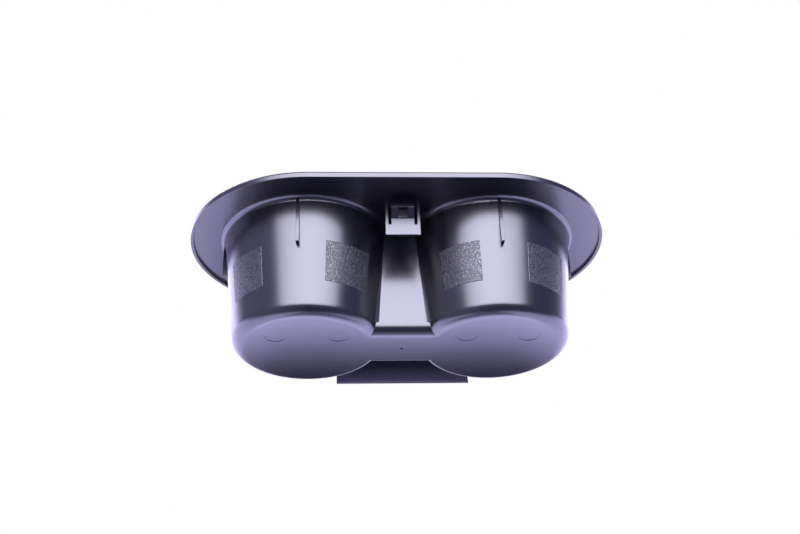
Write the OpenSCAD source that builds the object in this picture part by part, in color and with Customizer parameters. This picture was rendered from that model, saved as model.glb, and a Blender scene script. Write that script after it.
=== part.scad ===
// Two-place cup holder for a car console: one moulding with a drop-in flange and a snap tongue.
// The origin is on the plane of the cup floors, midway between the cups. The front is -Y.

/* [Flange] */
// Overall length of the flange
flange_length = 221; // [215:0.5:260]
// Overall depth of the flange, front to back
flange_depth = 126.2; // [118:0.2:150]
// Height of the flange's top above the plane of the cup floors
total_height = 65.7; // [58:0.1:90]
// Thickness of the flange plate
plate_thickness = 2.2; // [1.6:0.1:3]
// Height of the outer lip, from its lower edge to the flange's top
lip_height = 3.55; // [2.8:0.05:8]
// Width of the outer lip
lip_width = 1.6; // [1:0.1:3]
// Rounding of the flange's upper outer edge
edge_round = 1.2; // [0.4:0.1:1.5]

/* [Cups] */
// Distance between the centres of the two cups
cup_pitch = 96; // [88:0.5:110]
// Outer radius of the cup wall where it would meet the floor plane
cup_radius = 37.75; // [34:0.25:40]
// Lean of the cups' walls, in degrees
draft = 6; // [2:0.5:7]
// Thickness of the cup walls and floors
wall = 2.3; // [1.6:0.1:3]
// Outer radius of the rounding between wall and floor
bottom_fillet = 6.1; // [4:0.1:9]
// Depth of the round moulding marks on the cup floors
mark_depth = 0.2; // [0.1:0.05:0.4]
// Diameter of the round moulding marks
mark_diameter = 11.2; // [6:0.2:12]
// Distance from a cup's centre to its marks, along the length
mark_spread_x = 15.7; // [12:0.1:17]
// Distance from the middle of the four marks to each of them, front to back
mark_spread_y = 16.4; // [12:0.1:17]
// How far the four marks lie behind the cup's centre
mark_shift_y = 2.6; // [-3:0.1:3]

/* [Web between the cups] */
// Half depth of the web where it would meet the floor plane
web_half_depth = 16.8; // [10:0.1:22]
// Lean of the web's faces, in degrees
web_draft = 1; // [0.5:0.25:3]
// How much smaller the roundings at the web's foot and head are than those of the cups
web_round_less = 0.6; // [0.4:0.1:1.2]
// Radius of the corner between web and cup wall, at the floor plane
web_corner = 8; // [7:0.1:10]
// Radius of the same corner at the flange's underside
web_corner_top = 2; // [1.5:0.1:4]
// How much wider than a true tangent round the corner's cut is
corner_ease = 0.5; // [0.4:0.05:0.8]
// Diameter of the gate mark under the web
gate_diameter = 1.6; // [1:0.1:3]
// Depth of the gate mark
gate_depth = 0.5; // [0.2:0.1:1]

/* [Mouth] */
// Radius of the hollow rounding between the walls and the flange's underside
mouth_round = 3; // [1.5:0.1:4]
// Angle at which that rounding meets the flange's underside, in degrees
mouth_meet = 10; // [8:1:25]

/* [Ribs] */
// Thickness of the ribs on the cups
rib_thickness = 1.6; // [1:0.1:3]
// Distance from a cup's centre to the upright outer edge of its ribs
rib_reach = 45.3; // [44:0.1:50]
// Height of the front ribs' lower ends above the floor plane
front_rib_foot = 36.5; // [20:0.5:50]
// Height of the side ribs' lower ends above the floor plane
side_rib_foot = 45; // [20:0.5:50]
// Angle of the left cup's front rib from the front line, in degrees
front_rib_left = -5.9; // [-20:0.1:20]
// Angle of the right cup's front rib from the front line, in degrees
front_rib_right = 2.1; // [-20:0.1:20]
// Angle of the left cup's side rib from the front line, in degrees
side_rib_left = -93; // [-110:0.5:-80]
// Angle of the right cup's side rib from the front line, in degrees
side_rib_right = 94; // [80:0.5:110]

/* [Textured patches] */
// Height of the patches' lower edges above the floor plane
patch_low = 17.5; // [10:0.5:25]
// Height of the patches' upper edges above the floor plane
patch_high = 39.5; // [30:0.5:52]
// How far the patches stand out from the wall
patch_relief = 0.15; // [0.05:0.05:0.5]
// Where each patch starts and ends around the left cup, in degrees from the front line
patches_left = [[-65, -33], [13.5, 48.5]];
// Where each patch starts and ends around the right cup, in degrees from the front line
patches_right = [[-44, -13.5], [21, 57]];

/* [Snap clip] */
// Distance from the centre line of the cups to the clip's front face, at its foot
clip_reach = 40.3; // [36:0.1:48]
// Lean of the clip: its foot lies further back than its root, in degrees
clip_lean = 4.5; // [0:0.5:8]
// How far the clip's middle lies to the right of the middle of the part
clip_offset = 0.3; // [-2:0.1:2]
// Width of the clip frame
clip_width = 17.6; // [14:0.1:24]
// Thickness of the clip frame
clip_thickness = 1.6; // [1.2:0.1:2.5]
// Height of the clip's lower edge above the floor plane
clip_foot = 43.3; // [35:0.1:50]
// Height of the cross bar at the foot of the clip
bar_height = 5.9; // [3:0.1:7]
// Width of each side post of the clip
post_width = 1.5; // [1:0.1:3]
// Width of the slot between post and tongue
slot_width = 1.45; // [0.8:0.05:2]
// Gap between the tongue's free end and the flange's underside
tongue_gap = 4.4; // [1.5:0.1:6]
// How far the barb stands out from the tongue
barb_reach = 3; // [1:0.1:5]
// Height of the barb's slanted face
barb_rise = 4.9; // [3:0.1:6]
// Height of the barb's flat front edge
barb_land = 1.8; // [0.6:0.1:2.4]
// Width of the pocket in the middle of the barb
pocket_width = 5; // [3:0.1:6]

/* [Hidden] */
$fn = 144;
plastic = [0.07, 0.07, 0.09];
cut_over = 1;
sink = 1;
corner_root = 3;
block_share = 0.35;
least_tip = 0.2;
lean = tan(draft);
under_z = total_height - plate_thickness;
lip_z = total_height - lip_height;
end_radius = flange_depth / 2;
end_x = flange_length / 2 - end_radius;

// Outer radius of a cup's wall at a height
function cup_at(z) = cup_radius + z * lean;

// Where the clip's front face lies at a height
function clip_front(z) = -clip_reach - (z - clip_foot) * tan(clip_lean);

// Centre of the corner that touches both a cup's wall and the web, seen from above
function corner_centre(cup_r, web_y, corner) =
    [cup_pitch / 2 - sqrt(pow(cup_r + corner, 2) - pow(web_y + corner, 2)), web_y + corner];

// Half section of a leaning wall with a rounded foot, filled back to the axis. With a mouth radius,
// the wall ends in a hollow rounding that runs out into the flange.
module half_section(distance, angle, fillet, height, mouth) {
    foot = [distance + fillet * (sin(angle) - 1) / cos(angle), fillet];
    touch = foot + fillet * [cos(angle), -sin(angle)];
    mouth_z = under_z - mouth * cos(mouth_meet);
    touch_z = mouth_z + mouth * sin(angle);
    mouth_x = distance + touch_z * tan(angle) + mouth * cos(angle);
    if (mouth > 0) difference() {
        union() {
            polygon([[0, 0], [foot[0], 0], touch, [distance + touch_z * tan(angle), touch_z],
                     [mouth_x, mouth_z + mouth], [mouth_x, height], [0, height]]);
            translate(foot) circle(fillet);
        }
        translate([mouth_x, mouth_z]) circle(mouth);
    } else {
        polygon([[0, 0], [foot[0], 0], touch, [distance + height * tan(angle), height], [0, height]]);
        translate(foot) circle(fillet);
    }
}

// A profile in the upright plane across the length, drawn out along the length on both sides
module along_length(length) {
    rotate([90, 0, 90]) linear_extrude(length, center = true) {
        children();
        mirror([1, 0]) children();
    }
}

// The blended corner between web and cup: a block less a slanting cone that follows both walls,
// and less a flat cone that widens the corner at its foot
module web_corner_fill(cup_r, web_y, inset, fillet, height) {
    corner = web_corner + inset;
    foot = corner_centre(cup_r, web_y, corner);
    head = corner_centre(cup_r + height * lean, web_y + height * tan(web_draft), web_corner_top + inset);
    step = [head[0] - foot[0], head[1] - foot[1], height];
    slope = atan(norm([step[0], step[1]]) / height);
    narrowing = (web_corner - web_corner_top) / norm(step);
    length = norm(step) + 2 * cut_over;
    toward_cup = [cup_pitch / 2 - foot[0], -foot[1]] / (cup_r + corner);
    on_cup = foot + toward_cup * corner;
    in_cup = on_cup + toward_cup * (fillet + corner_root);
    side_x = foot[0] * block_share + head[0] * (1 - block_share);
    side_y = head[1] - (web_corner_top + inset) / 2;
    inner_y = web_y - fillet - corner_root;
    foot_z = fillet / 4;
    cone_r = corner + corner_ease;
    difference() {
        translate([0, 0, foot_z]) linear_extrude(height - foot_z)
            polygon([[side_x, side_y], [side_x, inner_y], [in_cup[0], inner_y], in_cup, on_cup]);
        translate([foot[0], foot[1], 0]) rotate([0, slope, atan2(step[1], step[0])])
            rotate_extrude() polygon([
                [0, -2 * cut_over], [cone_r + 2 * cut_over * narrowing, -2 * cut_over],
                [max(least_tip, cone_r - length * narrowing), length], [0, length]]);
        translate([foot[0], foot[1], 0]) rotate_extrude()
            polygon([[0, 0], [cone_r + fillet, 0], [cone_r - cut_over, fillet + cut_over], [0, fillet + cut_over]]);
    }
}

// The form of the two cups and the web, taken in by a wall thickness on every side and at the floor
module cups_form(thickness, top_z) {
    cup_inset = thickness * (1 / cos(draft) - lean);
    web_inset = thickness * (1 / cos(web_draft) - tan(web_draft));
    cup_r = cup_radius - cup_inset;
    web_y = web_half_depth - web_inset;
    fillet = bottom_fillet - thickness;
    height = top_z - thickness;
    web_fillet = fillet - web_round_less;
    cup_mouth = thickness == 0 ? mouth_round : 0;
    web_mouth = thickness == 0 ? mouth_round - web_round_less : 0;
    translate([0, 0, thickness]) {
        for (side = [-1, 1])
            translate([side * cup_pitch / 2, 0, 0]) rotate_extrude()
                half_section(cup_r, draft, fillet, height, cup_mouth);
        along_length(cup_pitch) half_section(web_y, web_draft, web_fillet, height, web_mouth);
        for (turn_x = [0, 1], turn_y = [0, 1])
            mirror([turn_x, 0, 0]) mirror([0, turn_y, 0])
                web_corner_fill(cup_r, web_y, cup_inset, fillet, height);
    }
}

// Half profile of the flange plate with its hanging lip and rounded upper edge
module flange_section() {
    polygon([[0, under_z], [end_radius - lip_width, under_z], [end_radius - lip_width, lip_z],
             [end_radius, lip_z], [end_radius, total_height - edge_round],
             [end_radius - edge_round, total_height], [0, total_height]]);
    translate([end_radius - edge_round, total_height - edge_round]) circle(edge_round);
}

// The flange: round ends joined by straight sides
module flange() {
    for (side = [-1, 1])
        translate([side * end_x, 0, 0]) rotate([0, 0, -90 * side])
            rotate_extrude(angle = 180) flange_section();
    along_length(2 * end_x) flange_section();
}

// A gusset rib on a cup, with an upright outer edge, from the flange's underside down to the wall
module rib(cup_x, angle, foot) {
    inner = cup_at(foot) - sink;
    head_z = under_z + plate_thickness / 2;
    translate([cup_x, 0, 0]) rotate([90, 0, angle - 90]) linear_extrude(rib_thickness, center = true)
        polygon([[inner, foot], [rib_reach, foot], [rib_reach, head_z], [inner, head_z]]);
}

// A raised patch on a cup's wall, which carries the moulded texture
module texture_patch(cup_x, from, to) {
    far = 2 * cup_radius;
    translate([cup_x, 0, 0]) intersection() {
        rotate_extrude() polygon([
            [cup_at(patch_low) - sink, patch_low], [cup_at(patch_low) + patch_relief, patch_low],
            [cup_at(patch_high) + patch_relief, patch_high], [cup_at(patch_high) - sink, patch_high]]);
        linear_extrude(patch_high + sink) polygon([
            [0, 0], [far * sin(from), -far * cos(from)], [far * sin(to), -far * cos(to)]]);
    }
}

// The snap clip: a hanging frame with a tongue that is free at its upper end and carries a barb
module snap_clip() {
    tongue_half = clip_width / 2 - post_width - slot_width;
    tongue_top = under_z - tongue_gap;
    slot_foot = clip_foot + bar_height;
    ramp_foot = tongue_top - barb_land - barb_rise;
    root_z = under_z + plate_thickness / 2;
    cut_y = clip_front(root_z) - cut_over;
    cut_depth = clip_thickness + 2 * cut_over + (root_z - clip_foot) * tan(clip_lean);
    barb_y = clip_front(tongue_top) - barb_reach;
    middle = clip_thickness / 2;
    translate([clip_offset, 0, 0]) {
        difference() {
            rotate([90, 0, 90]) linear_extrude(clip_width, center = true)
                polygon([[clip_front(clip_foot), clip_foot], [clip_front(root_z), root_z],
                         [clip_front(root_z) + clip_thickness, root_z],
                         [clip_front(clip_foot) + clip_thickness, clip_foot]]);
            for (side = [-1, 1])
                translate([side * (tongue_half + slot_width / 2) - slot_width / 2, cut_y, slot_foot])
                    cube([slot_width, cut_depth, under_z - slot_foot]);
            translate([-tongue_half - slot_width / 2, cut_y, tongue_top])
                cube([2 * tongue_half + slot_width, cut_depth, tongue_gap]);
        }
        difference() {
            rotate([90, 0, 90]) linear_extrude(2 * tongue_half, center = true)
                polygon([[clip_front(ramp_foot) + middle, ramp_foot], [clip_front(ramp_foot), ramp_foot],
                         [barb_y, tongue_top - barb_land], [barb_y, tongue_top],
                         [clip_front(tongue_top) + middle, tongue_top]]);
            translate([-pocket_width / 2, barb_y - cut_over, ramp_foot - cut_over])
                cube([pocket_width, barb_reach + cut_over, barb_rise + cut_over]);
        }
    }
}

// The shallow moulding marks under the floors and the gate mark under the web
module floor_marks() {
    for (side = [-1, 1], along = [-1, 1], across = [-1, 1])
        translate([side * cup_pitch / 2 + along * mark_spread_x,
                   mark_shift_y + across * mark_spread_y, -cut_over])
            cylinder(h = cut_over + mark_depth, d = mark_diameter);
    translate([0, 0, -cut_over]) cylinder(h = cut_over + gate_depth, d = gate_diameter);
}

module cup_holder() {
    color(plastic) difference() {
        union() {
            flange();
            cups_form(0, under_z + plate_thickness / 2);
            rib(-cup_pitch / 2, front_rib_left, front_rib_foot);
            rib(cup_pitch / 2, front_rib_right, front_rib_foot);
            rib(-cup_pitch / 2, side_rib_left, side_rib_foot);
            rib(cup_pitch / 2, side_rib_right, side_rib_foot);
            for (range = patches_left) texture_patch(-cup_pitch / 2, range[0], range[1]);
            for (range = patches_right) texture_patch(cup_pitch / 2, range[0], range[1]);
            snap_clip();
        }
        cups_form(wall, total_height + cut_over);
        floor_marks();
    }
}

cup_holder();
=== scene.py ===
import math

import bpy
from mathutils import Matrix, Vector

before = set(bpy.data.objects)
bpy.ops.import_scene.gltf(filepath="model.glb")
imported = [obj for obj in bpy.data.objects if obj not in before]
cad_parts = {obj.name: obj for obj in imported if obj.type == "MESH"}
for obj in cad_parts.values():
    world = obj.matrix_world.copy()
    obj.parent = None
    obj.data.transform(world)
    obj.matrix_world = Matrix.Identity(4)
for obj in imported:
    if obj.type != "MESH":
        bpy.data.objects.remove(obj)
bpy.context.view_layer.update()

MM = 0.001
NODE = "cup_holder"
ACROSS = Vector((1, 0, 0))

# Sizes of the moulding, in metres, as in the part's source
CUP_HALF_PITCH = 48 * MM
CUP_RADIUS = 37.75 * MM
LEAN = math.tan(math.radians(6))
PATCH_LOW = 17.5 * MM
PATCH_HIGH = 39.5 * MM
# The middle of each cup, and where its patches start and end around it, in degrees from the front
PATCHES = {
    "left": (-CUP_HALF_PITCH, ((-65, -33), (13.5, 48.5))),
    "right": (CUP_HALF_PITCH, ((-44, -13.5), (21, 57))),
}
PATCH_BLUR = 0.15 * MM
# A patch is drawn only outside a cone just under the wall's outer face, and short of the middle of the part
PATCH_INSIDE = CUP_RADIUS - 0.6 * MM
PATCH_OUTSIDE = CUP_HALF_PITCH - 1 * MM

# The plastic. The scales of its noises are per metre
CLOUD_SCALE = 28
CLOUD_DETAIL = 3
CLOUD_COLOURS = ((0.3, (0.0028, 0.0027, 0.0052)), (0.7, (0.0040, 0.0038, 0.0070)))
CLOUD_ROUGHNESS = 0.05
GRAIN_SCALE = 2600
GRAIN_DETAIL = 2
GRAIN_RELIEF = 0.012
STIPPLE_SCALE = 1400
STIPPLE_DETAIL = 1.5
STIPPLE_STEP = (0.42, 0.58)
STIPPLE_ROUGHNESS = 0.14
STIPPLE_RELIEF = 0.5
RELIEF_HEIGHT = 0.25 * MM
PLASTIC_ROUGHNESS = 0.23
PLASTIC_IOR = 1.72
EDGE_RADIUS = 0.22 * MM
EDGE_SAMPLES = 6

# The camera: turned from +Y towards +X, looking up, and rolled, in degrees
CAMERA_YAW = 4.03
CAMERA_PITCH = 32.12
CAMERA_ROLL = -2.2
CAMERA_DISTANCE = 611.8 * MM
CAMERA_TARGET = Vector((0.8 * MM, 0, 49.4 * MM))
CAMERA_FOCAL_PIXELS = 1145.8
CAMERA_CLIP = 0.01
IMAGE_WIDTH = 800
SENSOR_WIDTH = 36

# The studio is turned as in the photograph, where the object leans back on a table: its zenith is towards -Y
ZENITH = Vector((0, -0.926, 0.378))
LIGHT_TARGET = Vector((0, 0, 35 * MM))
LIGHT_DISTANCE = 0.9
LIGHT_WIDTH = 1.53
LIGHT_HEIGHT = 0.96
LIGHT_RADIANCE = 9.2
LIGHT_TINT = (1, 0.985, 1.24)
# How much dimmer the light gets towards its sides, and towards its upper and lower edges
LIGHT_FALL = (2.4, 1.4)

# The table touches the rear bottom edge of the cups and the rear edge of the flange
TABLE_FOOT = Vector((0, 37.9 * MM, -0.2 * MM))
TABLE_REACH = 2
TABLE_TINT = (0.62, 0.59, 0.75)
TABLE_MOTTLE = 0.97
# It has a gap behind the object, this far to either side, and it ends at this height
TABLE_CUT = 88 * MM
TABLE_TOP = 66 * MM
# Painted light and shade: how light its colour is, standing in for the object's shadow. Beyond the sides its
# level is 1.
# Between them it has the shaded level at the object's foot, rises by 1 over the distance below it, and loses
# a share of its level further out
SHADE_LEVEL = 0.42
SHADE_SIDES = (80 * MM, 95 * MM)
SHADE_BELOW = 40 * MM
SHADE_FAR = (42 * MM, 120 * MM)
SHADE_FAR_LOSS = 0.8
# A painted shadow: the dark patch of the table between the feet of the cups, and its colours from its lower
# end upwards
SHADOW_SIDES = (-33 * MM, 38 * MM)
SHADOW_BELOW = 0.8 * MM
SHADOW_ABOVE = 21 * MM
SHADOW_DARKEST = 0.7 * SHADOW_ABOVE
SHADOW_COLOURS = ((0, (0.36, 0.33, 0.42)), (1, (0.12, 0.12, 0.16)))

# The floor, which fades into the white background between two distances
FLOOR_SIZE = 4
FLOOR_DROP = 0.05 * MM
FLOOR_COLOURS = ((0, (0.35, 0.35, 0.28)), (1, (0.38, 0.38, 0.305)))
FLOOR_ROUGHNESS = 0.8
FLOOR_FADE = (0.22, 0.7)
PAPER_SCALE = 3

# The room from left to right, and the table side from level to straight below, as reflections see them
ROOM_COLOURS = ((0, (0.60, 0.56, 0.95)), (0.22, (0.50, 0.47, 0.82)), (0.5, (0.14, 0.14, 0.30)),
                (0.8, (0.20, 0.22, 0.50)), (1, (0.22, 0.25, 0.55)))
BELOW_COLOURS = ((0, (0.25, 0.24, 0.36)), (0.15, (0.50, 0.48, 0.74)), (0.5, (1.3, 1.24, 1.95)),
                 (0.65, (0.9, 0.86, 1.35)), (0.8, (0.4, 0.38, 0.6)))
HORIZON_BLEND = (-0.12, 0.06)
# The side that the camera looks towards is brighter
BEHIND = (0, 0.8, 0.6)
BEHIND_BLEND = (0.5, 0.7)
BEHIND_GAIN = 1.5


class Nodes:
    """Short calls for building a node tree."""

    def __init__(self, tree):
        self.tree = tree
        tree.nodes.clear()

    def add(self, kind, **settings):
        node = self.tree.nodes.new(kind)
        for name, value in settings.items():
            setattr(node, name, value)
        return node

    def link(self, source, target):
        self.tree.links.new(source, target)

    def math(self, operation, first, second=None, third=None):
        node = self.add("ShaderNodeMath", operation=operation)
        for socket, value in zip(node.inputs, (first, second, third)):
            if value is None:
                continue
            if hasattr(value, "is_output"):
                self.link(value, socket)
            else:
                socket.default_value = value
        return node.outputs[0]

    def ramp(self, source, stops):
        node = self.add("ShaderNodeValToRGB")
        elements = node.color_ramp.elements
        while len(elements) < len(stops):
            elements.new(0.5)
        for element, (place, colour) in zip(elements, stops):
            element.position = place
            element.color = (*colour, 1)
        self.link(source, node.inputs[0])
        return node.outputs[0]

    def smooth_step(self, source, low, high):
        node = self.add("ShaderNodeMapRange", interpolation_type="SMOOTHSTEP")
        self.link(source, node.inputs["Value"])
        node.inputs["From Min"].default_value = low
        node.inputs["From Max"].default_value = high
        return node.outputs["Result"]

    def place(self):
        return self.add("ShaderNodeTexCoord").outputs["Object"]

    def split(self, vector):
        node = self.add("ShaderNodeSeparateXYZ")
        self.link(vector, node.inputs[0])
        return node.outputs

    def dot(self, vector, axis):
        node = self.add("ShaderNodeVectorMath", operation="DOT_PRODUCT")
        self.link(vector, node.inputs[0])
        node.inputs[1].default_value = axis
        return node.outputs["Value"]

    def noise(self, scale, detail=None, vector=None):
        node = self.add("ShaderNodeTexNoise")
        node.inputs["Scale"].default_value = scale
        if detail is not None:
            node.inputs["Detail"].default_value = detail
        if vector is not None:
            self.link(vector, node.inputs["Vector"])
        return node.outputs["Fac"]

    def mix(self, factor, first, second):
        node = self.add("ShaderNodeMixShader")
        for source, socket in zip((factor, first, second), node.inputs):
            self.link(source, socket)
        return node.outputs[0]


def new_material(name):
    """A material, its node tree, and the socket that takes its surface."""
    material = bpy.data.materials.new(name)
    material.use_nodes = True
    nodes = Nodes(material.node_tree)
    return material, nodes, nodes.add("ShaderNodeOutputMaterial").inputs["Surface"]


def new_object(name, corners, faces, material):
    mesh = bpy.data.meshes.new(name)
    mesh.from_pydata(corners, [], faces)
    mesh.materials.append(material)
    obj = bpy.data.objects.new(name, mesh)
    bpy.context.collection.objects.link(obj)
    return obj


def hide_from(obj, *rays):
    for ray in rays:
        setattr(obj, "visible_" + ray, False)


def make_camera():
    yaw, pitch, roll = (math.radians(a) for a in (CAMERA_YAW, CAMERA_PITCH, CAMERA_ROLL))
    ahead = Vector((math.sin(yaw), math.cos(yaw), 0))
    forward = ahead * math.cos(pitch) + Vector((0, 0, math.sin(pitch)))
    level = Vector((math.cos(yaw), -math.sin(yaw), 0))
    upright = level.cross(forward)
    right = level * math.cos(roll) + upright * math.sin(roll)
    up = upright * math.cos(roll) - level * math.sin(roll)
    data = bpy.data.cameras.new("camera")
    data.sensor_width = SENSOR_WIDTH
    data.lens = CAMERA_FOCAL_PIXELS / IMAGE_WIDTH * SENSOR_WIDTH
    data.clip_start = CAMERA_CLIP
    camera = bpy.data.objects.new("camera", data)
    turn = Matrix((right, up, -forward)).transposed().to_4x4()
    camera.matrix_world = Matrix.Translation(CAMERA_TARGET - forward * CAMERA_DISTANCE) @ turn
    bpy.context.collection.objects.link(camera)
    bpy.context.scene.camera = camera


def patch_mask(nodes, position):
    """1 on the textured patches of the cup walls, 0 elsewhere."""
    x, y, z = nodes.split(position)
    band = nodes.math("MULTIPLY", nodes.smooth_step(z, PATCH_LOW - PATCH_BLUR, PATCH_LOW + PATCH_BLUR),
                      nodes.smooth_step(z, PATCH_HIGH + PATCH_BLUR, PATCH_HIGH - PATCH_BLUR))
    blur = PATCH_BLUR / CUP_RADIUS
    total = None
    for centre, ranges in PATCHES.values():
        across = nodes.math("SUBTRACT", x, centre)
        front = nodes.math("MULTIPLY", y, -1)
        angle = nodes.math("ARCTAN2", across, front)
        squares = nodes.math("ADD", nodes.math("POWER", across, 2), nodes.math("POWER", y, 2))
        radius = nodes.math("SQRT", squares)
        wall = nodes.math("MULTIPLY_ADD", z, LEAN, PATCH_INSIDE)
        outside = nodes.math("MULTIPLY", nodes.math("GREATER_THAN", radius, wall),
                             nodes.math("LESS_THAN", radius, PATCH_OUTSIDE))
        for first, last in ranges:
            low, high = math.radians(first), math.radians(last)
            inside = nodes.math("MULTIPLY", nodes.smooth_step(angle, low - blur, low + blur),
                                nodes.smooth_step(angle, high + blur, high - blur))
            inside = nodes.math("MULTIPLY", inside, outside)
            total = inside if total is None else nodes.math("MAXIMUM", total, inside)
    return nodes.math("MULTIPLY", total, band)


def moulded_plastic():
    """Satin black plastic with fine moulded grain, and coarser stipple on the patches."""
    material, nodes, surface = new_material("moulded_plastic")
    shader = nodes.add("ShaderNodeBsdfPrincipled")
    nodes.link(shader.outputs[0], surface)
    position = nodes.place()
    grain = nodes.noise(GRAIN_SCALE, GRAIN_DETAIL, position)
    cloud = nodes.noise(CLOUD_SCALE, CLOUD_DETAIL, position)
    stipple = nodes.smooth_step(nodes.noise(STIPPLE_SCALE, STIPPLE_DETAIL, position), *STIPPLE_STEP)
    dots = nodes.math("MULTIPLY", stipple, patch_mask(nodes, position))

    nodes.link(nodes.ramp(cloud, CLOUD_COLOURS), shader.inputs["Base Color"])
    roughness = nodes.math("MULTIPLY_ADD", cloud, CLOUD_ROUGHNESS, PLASTIC_ROUGHNESS)
    roughness = nodes.math("MULTIPLY_ADD", dots, STIPPLE_ROUGHNESS, roughness)
    nodes.link(roughness, shader.inputs["Roughness"])
    shader.inputs["IOR"].default_value = PLASTIC_IOR

    relief = nodes.math("MULTIPLY", grain, GRAIN_RELIEF)
    relief = nodes.math("MULTIPLY_ADD", dots, STIPPLE_RELIEF, relief)
    edge = nodes.add("ShaderNodeBevel", samples=EDGE_SAMPLES)
    edge.inputs["Radius"].default_value = EDGE_RADIUS
    bump = nodes.add("ShaderNodeBump")
    bump.inputs["Strength"].default_value = 1
    bump.inputs["Distance"].default_value = RELIEF_HEIGHT
    nodes.link(relief, bump.inputs["Height"])
    nodes.link(edge.outputs[0], bump.inputs["Normal"])
    nodes.link(bump.outputs[0], shader.inputs["Normal"])
    return material


def make_floor():
    """A pale floor under the object. It fades out into the white background, and is clear from below."""
    material, nodes, surface = new_material("floor_paper")
    paper = nodes.add("ShaderNodeBsdfPrincipled")
    paper.inputs["Roughness"].default_value = FLOOR_ROUGHNESS
    nodes.link(nodes.ramp(nodes.noise(PAPER_SCALE), FLOOR_COLOURS), paper.inputs["Base Color"])
    reach = nodes.add("ShaderNodeVectorMath", operation="LENGTH")
    nodes.link(nodes.place(), reach.inputs[0])
    fade = nodes.smooth_step(reach.outputs["Value"], *FLOOR_FADE)
    behind = nodes.add("ShaderNodeNewGeometry").outputs["Backfacing"]
    clear = nodes.add("ShaderNodeBsdfTransparent").outputs[0]
    nodes.link(nodes.mix(nodes.math("MAXIMUM", behind, fade), paper.outputs[0], clear), surface)

    size = FLOOR_SIZE
    corners = [(-size, -size, 0), (size, -size, 0), (size, size, 0), (-size, size, 0)]
    floor = new_object("floor", corners, [(0, 1, 2, 3)], material)
    floor.location.z = -FLOOR_DROP
    hide_from(floor, "shadow", "diffuse", "glossy")


def table_paper_with_painted_shade():
    """Pale paper with the object's soft shadow painted on its colour, on top of the shadow that the object
    casts.
    Two layers give back more light than one can.
    """
    material, nodes, surface = new_material("table_paper")
    pale = [TABLE_MOTTLE * c for c in TABLE_TINT]
    colour = nodes.ramp(nodes.noise(PAPER_SCALE), ((0, pale), (1, TABLE_TINT)))
    x, _, z = nodes.split(nodes.place())
    # Painted light and shade on the colour: between the sides it is darkened at the object's foot, lightened
    # below it, and darkened again further out
    beyond = nodes.smooth_step(nodes.math("ABSOLUTE", x), *SHADE_SIDES)
    under = nodes.math("ADD", nodes.smooth_step(z, 0, -SHADE_BELOW), SHADE_LEVEL)
    far = nodes.smooth_step(z, -SHADE_FAR[0], -SHADE_FAR[1])
    under = nodes.math("MULTIPLY", under, nodes.math("MULTIPLY_ADD", far, -SHADE_FAR_LOSS, 1))
    level = nodes.math("MULTIPLY_ADD", beyond, nodes.math("SUBTRACT", 1, under), under)
    shade = nodes.add("ShaderNodeVectorMath", operation="SCALE")
    nodes.link(colour, shade.inputs[0])
    nodes.link(level, shade.inputs["Scale"])
    papers = nodes.add("ShaderNodeAddShader")
    for socket in papers.inputs:
        paper = nodes.add("ShaderNodeBsdfDiffuse")
        nodes.link(shade.outputs[0], paper.inputs["Color"])
        nodes.link(paper.outputs[0], socket)
    nodes.link(papers.outputs[0], surface)
    return material


def painted_shadow_material():
    """Paper with a painted shadow, deeper towards its upper end, which is clear from behind."""
    material, nodes, surface = new_material("painted_shadow_paper")
    paper = nodes.add("ShaderNodeBsdfDiffuse")
    height = nodes.smooth_step(nodes.split(nodes.place())[2], -SHADOW_BELOW, SHADOW_DARKEST)
    nodes.link(nodes.ramp(height, SHADOW_COLOURS), paper.inputs["Color"])
    behind = nodes.add("ShaderNodeNewGeometry").outputs["Backfacing"]
    clear = nodes.add("ShaderNodeBsdfTransparent").outputs[0]
    nodes.link(nodes.mix(behind, paper.outputs[0], clear), surface)
    return material


def make_table():
    """The pale table with painted light and shade, which only reflections see, and a dark sheet with a
    painted shadow between the cups' feet.
    """
    along = ZENITH.cross(ACROSS).normalized()

    def on_table(x, length):
        return TABLE_FOOT + ACROSS * x + along * length

    top = TABLE_TOP / along.z
    corners = []
    faces = []
    for x0, x1, low, high in ((-TABLE_REACH, TABLE_REACH, -TABLE_REACH, 0),
                              (-TABLE_REACH, -TABLE_CUT, 0, top),
                              (TABLE_CUT, TABLE_REACH, 0, top)):
        first = len(corners)
        corners += [on_table(x, length) for x, length in ((x0, low), (x1, low), (x1, high), (x0, high))]
        faces.append((first, first + 1, first + 2, first + 3))
    table = new_object("table", corners, faces, table_paper_with_painted_shade())
    hide_from(table, "camera", "diffuse", "shadow", "transmission")

    # A dark sheet with a painted shadow between the cups' feet, which only the camera sees
    foot, head = -SHADOW_BELOW / along.z, SHADOW_ABOVE / along.z
    ends = zip(SHADOW_SIDES + SHADOW_SIDES[::-1], (foot, foot, head, head))
    corners = [on_table(x, length) for x, length in ends]
    shadow = new_object("table_shadow", corners, [(0, 1, 2, 3)], painted_shadow_material())
    hide_from(shadow, "diffuse", "glossy", "transmission", "shadow")


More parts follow.
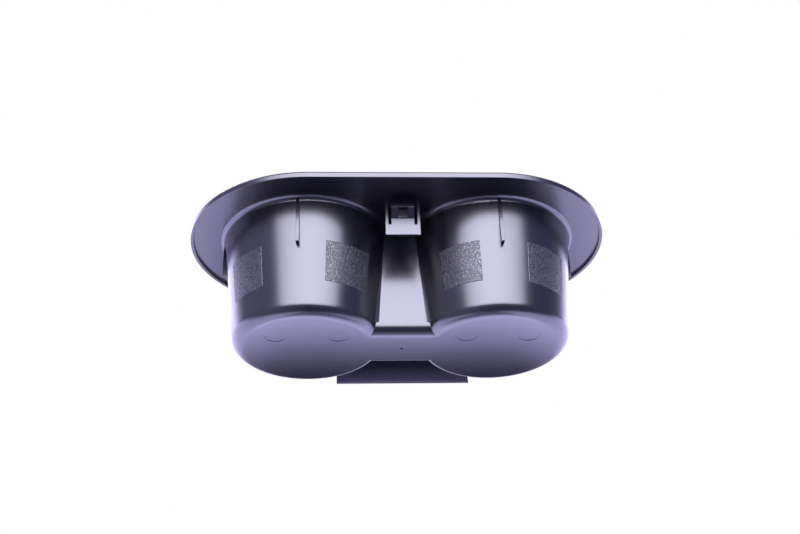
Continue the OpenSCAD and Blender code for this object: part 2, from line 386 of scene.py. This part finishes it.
def make_world():
    """White behind the object. Light and reflections see the pale table side, and a dim room."""
    world = bpy.data.worlds.new("studio")
    bpy.context.scene.world = world
    world.use_nodes = True
    nodes = Nodes(world.node_tree)
    direction = nodes.add("ShaderNodeTexCoord").outputs["Generated"]
    below = nodes.math("MULTIPLY", nodes.dot(direction, ZENITH), -1)
    across = nodes.math("MULTIPLY_ADD", nodes.split(direction)[0], 0.5, 0.5)
    blend = nodes.add("ShaderNodeMix", data_type="RGBA")
    nodes.link(nodes.smooth_step(below, *HORIZON_BLEND), blend.inputs["Factor"])
    nodes.link(nodes.ramp(across, ROOM_COLOURS), blend.inputs["A"])
    nodes.link(nodes.ramp(below, BELOW_COLOURS), blend.inputs["B"])
    behind = nodes.smooth_step(nodes.dot(direction, BEHIND), *BEHIND_BLEND)
    light = nodes.add("ShaderNodeBackground")
    nodes.link(blend.outputs["Result"], light.inputs["Color"])
    nodes.link(nodes.math("MULTIPLY_ADD", behind, BEHIND_GAIN, 1), light.inputs["Strength"])
    white = nodes.add("ShaderNodeBackground")
    white.inputs["Color"].default_value = (1, 1, 1, 1)
    seen = nodes.add("ShaderNodeLightPath").outputs["Is Camera Ray"]
    output = nodes.add("ShaderNodeOutputWorld")
    nodes.link(nodes.mix(seen, light.outputs[0], white.outputs[0]), output.inputs["Surface"])


def make_light():
    """One wide soft box, which is overhead in the photograph and a little brighter at its middle."""
    data = bpy.data.lights.new("soft_box", "AREA")
    data.shape = "RECTANGLE"
    data.size = LIGHT_WIDTH
    data.size_y = LIGHT_HEIGHT
    strongest = max(LIGHT_TINT)
    data.energy = LIGHT_RADIANCE * math.pi * LIGHT_WIDTH * LIGHT_HEIGHT * strongest
    data.color = [c / strongest for c in LIGHT_TINT]
    data.use_nodes = True
    nodes = Nodes(data.node_tree)
    strength = 1
    places = nodes.split(nodes.add("ShaderNodeNewGeometry").outputs["Parametric"])
    for socket, fall in zip(places, LIGHT_FALL):
        off = nodes.math("SUBTRACT", socket, 0.5)
        strength = nodes.math("MULTIPLY_ADD", nodes.math("MULTIPLY", off, off), -fall, strength)
    emission = nodes.add("ShaderNodeEmission")
    nodes.link(strength, emission.inputs["Strength"])
    nodes.link(emission.outputs[0], nodes.add("ShaderNodeOutputLight").inputs["Surface"])
    light = bpy.data.objects.new("soft_box", data)
    light.matrix_world = (Matrix.Translation(LIGHT_TARGET + ZENITH * LIGHT_DISTANCE)
                          @ ZENITH.to_track_quat("Z", "Y").to_matrix().to_4x4())
    light.visible_camera = False
    bpy.context.collection.objects.link(light)


make_camera()
make_world()
make_light()
make_table()
make_floor()
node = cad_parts[NODE]
node.data.materials.clear()
node.data.materials.append(moulded_plastic())

scene = bpy.context.scene
scene.view_settings.view_transform = "Standard"
